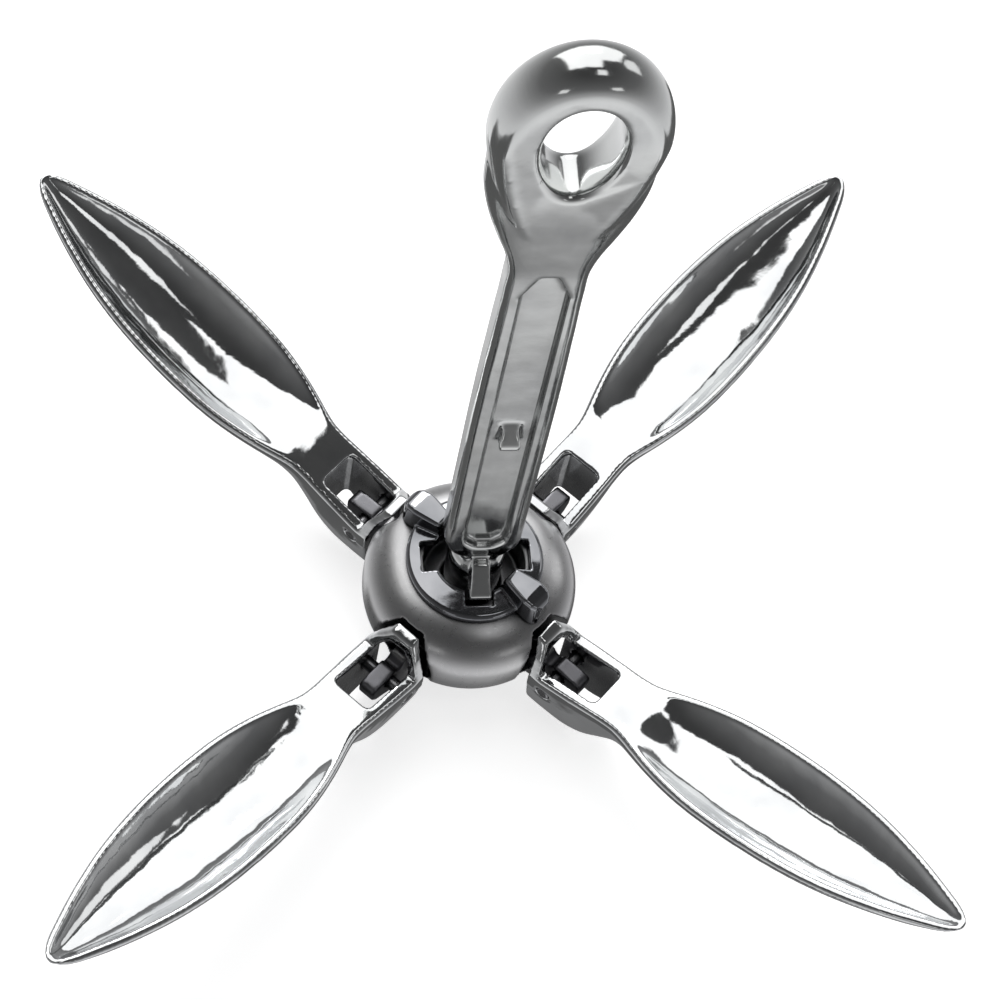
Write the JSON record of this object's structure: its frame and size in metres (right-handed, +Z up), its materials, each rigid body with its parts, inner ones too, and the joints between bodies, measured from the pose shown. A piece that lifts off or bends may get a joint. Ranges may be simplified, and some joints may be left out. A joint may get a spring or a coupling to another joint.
{
  "type": "folding grapnel anchor",
  "caption": "Folding grapnel anchor: a ball crown with hinged leaf-shaped flukes, a flat shank with a pear-shaped eye, and a locking collar that slides on the shank.",
  "frame": {"origin": "middle of the crown's flat base, where the anchor stands", "axes": "+Z up the shank to the eye; the shank's broad faces look along -Y and +Y; the flukes stand on the four diagonals"},
  "size_m": [0.2538, 0.2538, 0.285],
  "materials": {
    "shank_steel": "mirror-polished stainless steel",
    "crown_steel": "polished stainless steel",
    "collar_steel": "mirror-polished stainless steel",
    "fluke_steel": "mirror-polished stainless steel",
    "pin_steel": "drawn stainless bar, unpolished"
  },
  "bodies": {
    "anchor": {"shank": "shank_steel", "crown": "crown_steel", "hinge_pin_front_right": "pin_steel", "hinge_pin_back_right": "pin_steel", "hinge_pin_back_left": "pin_steel", "hinge_pin_front_left": "pin_steel"},
    "collar": {"locking_collar": "collar_steel"},
    "fluke_front_right": {"fluke_front_right": "fluke_steel"},
    "fluke_back_right": {"fluke_back_right": "fluke_steel"},
    "fluke_back_left": {"fluke_back_left": "fluke_steel"},
    "fluke_front_left": {"fluke_front_left": "fluke_steel"}
  },
  "joints": [
    {"name": "collar_slide", "type": "slide", "parent": "anchor", "child": "collar", "axis": [0, 0, 1], "range_m": [0, 0.16]},
    {"name": "fold_front_right", "type": "hinge", "parent": "anchor", "child": "fluke_front_right", "pos_m": [0.02722, -0.02722, 0.0175], "axis": [-0.7071, -0.7071, 0], "range_deg": [0, 75]},
    {"name": "fold_back_right", "type": "hinge", "parent": "anchor", "child": "fluke_back_right", "pos_m": [0.02722, 0.02722, 0.0175], "axis": [0.7071, -0.7071, 0], "range_deg": [0, 75]},
    {"name": "fold_back_left", "type": "hinge", "parent": "anchor", "child": "fluke_back_left", "pos_m": [-0.02722, 0.02722, 0.0175], "axis": [0.7071, 0.7071, 0], "range_deg": [0, 75]},
    {"name": "fold_front_left", "type": "hinge", "parent": "anchor", "child": "fluke_front_left", "pos_m": [-0.02722, -0.02722, 0.0175], "axis": [-0.7071, 0.7071, 0], "range_deg": [0, 75]}
  ]
}
